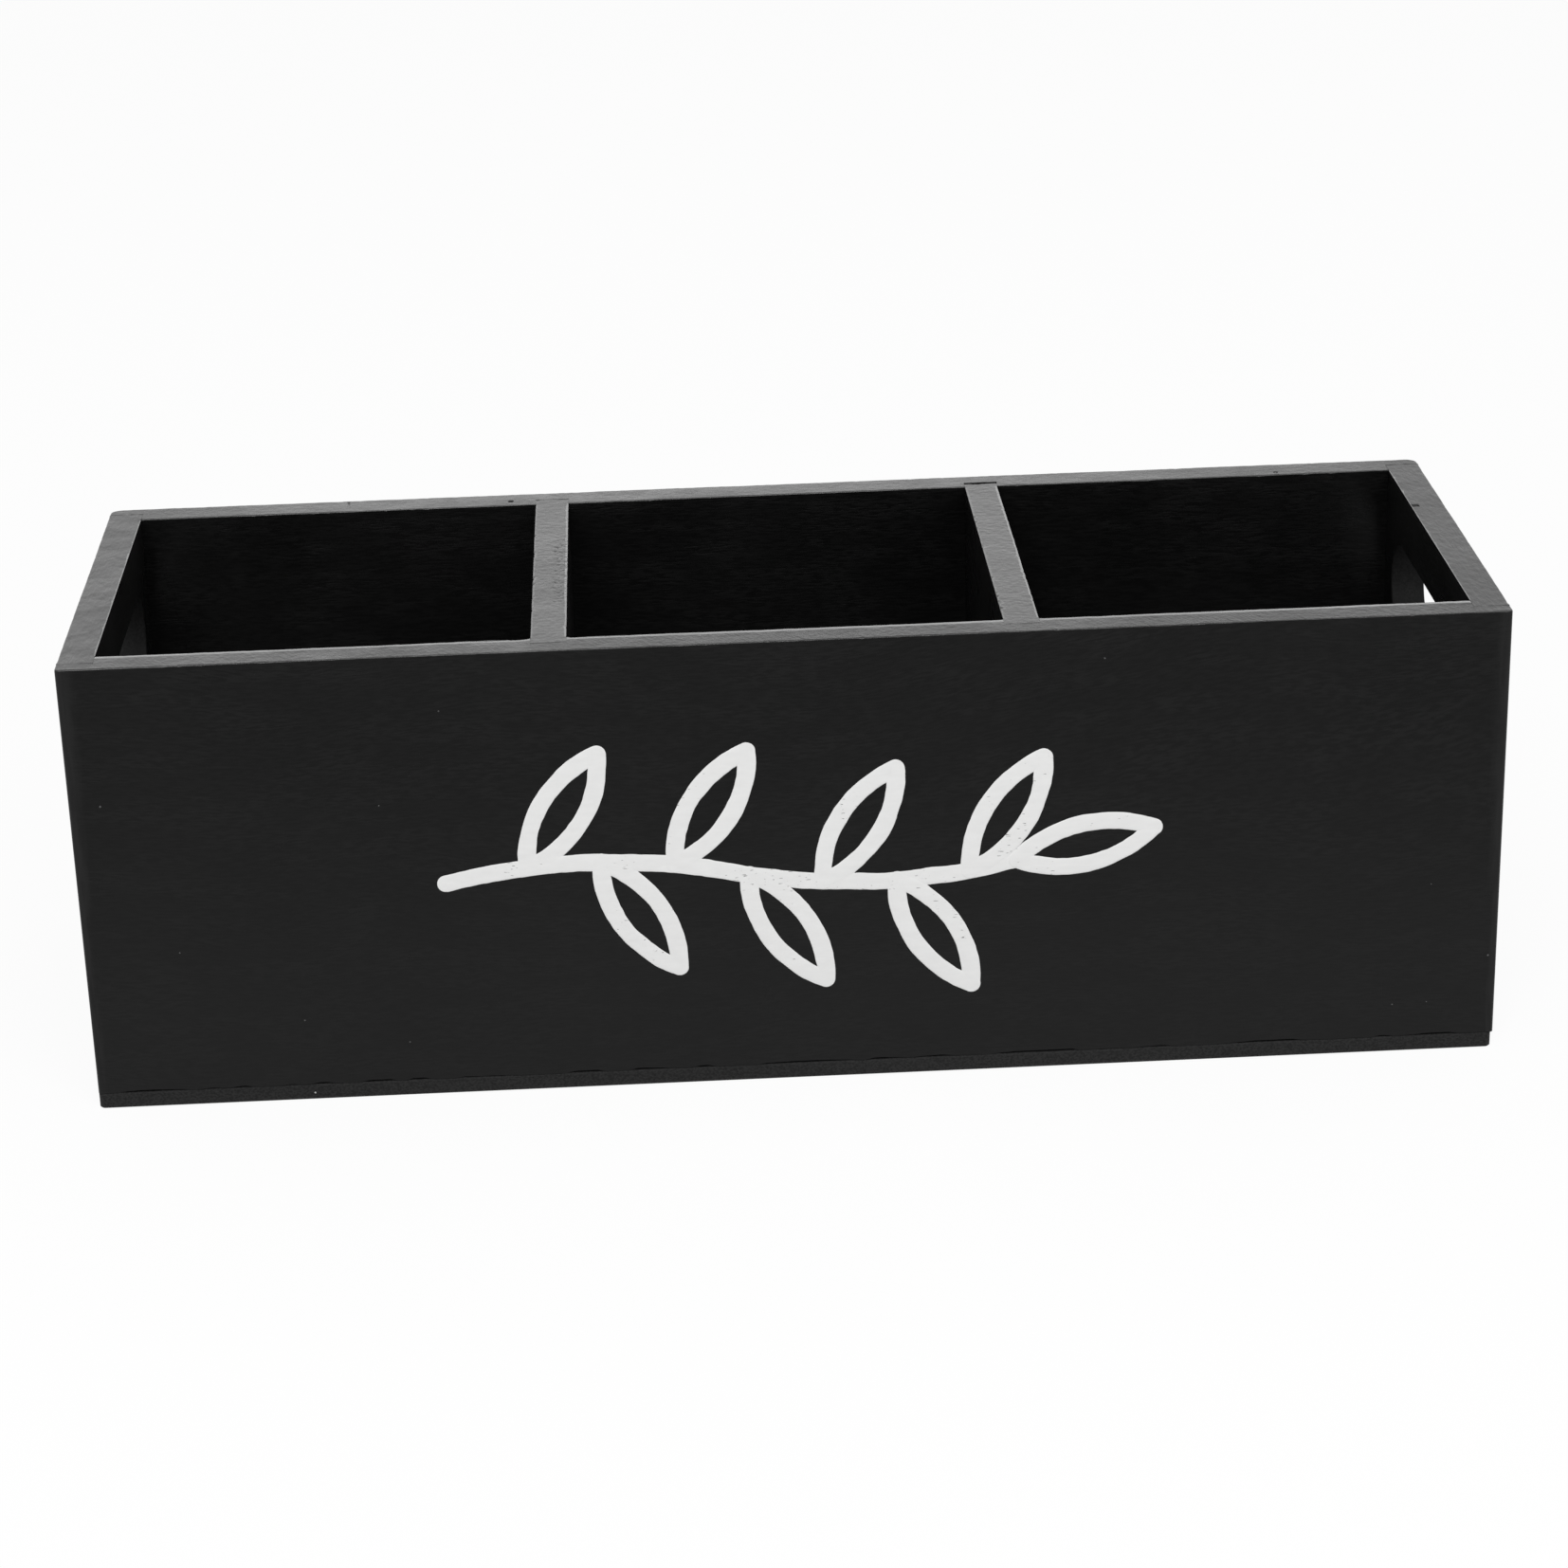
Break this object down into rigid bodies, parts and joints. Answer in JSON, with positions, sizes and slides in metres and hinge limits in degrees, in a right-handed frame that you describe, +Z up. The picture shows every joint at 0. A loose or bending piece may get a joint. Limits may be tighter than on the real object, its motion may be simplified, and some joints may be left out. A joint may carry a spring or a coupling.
{
  "type": "remote control holder",
  "caption": "Open wooden caddy in satin black with upright dividers, a hand slot in each end and a white leaf sprig painted on the front; it keeps remote controls on end.",
  "frame": {"origin": "middle of the underside, on the surface that the box stands on", "axes": "+X along the box to the right of a viewer who faces the painted front, +Y from the front to the back, +Z up"},
  "size_m": [0.3, 0.1035, 0.1003],
  "materials": {
    "black_wood": "satin black paint over open-pored wood",
    "white_paint": "matt white hand-brushed paint, chipped along the grain",
    "brad_steel": "bright steel wire, painted over where it shows"
  },
  "bodies": {
    "root": {"front_board": "black_wood", "back_board": "black_wood", "left_end_board": "black_wood", "right_end_board": "black_wood", "left_divider": "black_wood", "right_divider": "black_wood", "base_panel": "black_wood", "corner_brads": "brad_steel", "base_brads": "brad_steel", "painted_sprig": "white_paint"}
  },
  "joints": []
}
